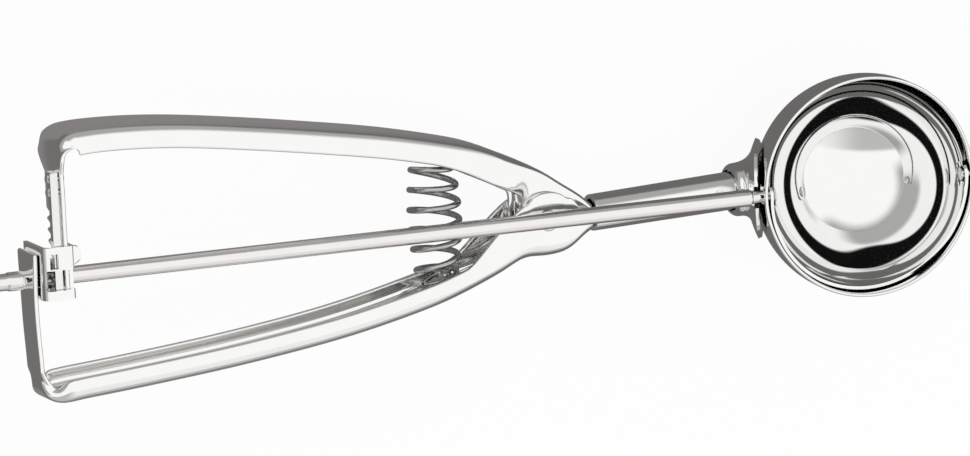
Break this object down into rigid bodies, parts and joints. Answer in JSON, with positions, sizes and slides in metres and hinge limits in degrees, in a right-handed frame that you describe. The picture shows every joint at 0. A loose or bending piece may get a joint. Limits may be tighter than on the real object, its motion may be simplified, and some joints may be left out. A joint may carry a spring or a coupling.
{
  "type": "ice cream scoop",
  "caption": "Squeeze-handle ice cream scoop: a hemispherical bowl whose curved scraper is swept by a rack and pinion when the sprung handles are closed.",
  "frame": {"origin": "centre of the drive rod's rear end face", "axes": "+X along the drive rod towards the bowl, +Y towards the moving handle, +Z out of the bowl's mouth"},
  "size_m": [0.2326, 0.0606, 0.0325],
  "materials": {
    "bowl_steel": "mirror polished",
    "handle_steel": "polished",
    "rod_steel": "polished, drawn",
    "rivet_steel": "polished",
    "gear_steel": "milled",
    "spring_wire": "drawn wire"
  },
  "bodies": {
    "frame": {"fixed_handle": "handle_steel", "gear_bracket": "handle_steel", "neck": "handle_steel", "bowl_saddle": "handle_steel", "bowl": "bowl_steel", "hinge_rivet": "rivet_steel", "scraper_pivot": "rivet_steel", "lower_spring_peg": "rivet_steel", "return_spring": "spring_wire"},
    "squeeze_lever": {"squeeze_handle": "handle_steel", "rack": "gear_steel", "rack_rivet_upper": "rivet_steel", "rack_rivet_lower": "rivet_steel", "upper_spring_peg": "rivet_steel"},
    "scraper_shaft": {"drive_rod": "rod_steel", "pinion": "gear_steel", "thrust_washer": "gear_steel", "scraper": "bowl_steel"}
  },
  "joints": [
    {"name": "squeeze", "type": "hinge", "parent": "frame", "child": "squeeze_lever", "pos_m": [0.13251, -0.0009, -0.0098], "axis": [0.0802, 0, 0.9968], "range_deg": [0, 4.9], "stiffness_Nm_per_rad": 6, "springref_deg": -6.3, "deforming": ["return_spring"]},
    {"name": "scraper_turn", "type": "hinge", "parent": "frame", "child": "scraper_shaft", "pos_m": [0, 0, 0], "axis": [1, 0, 0], "range_deg": [0, 160]}
  ],
  "couplings": [
    {"joint": "scraper_turn", "follows": "squeeze", "ratio": 32.493}
  ]
}
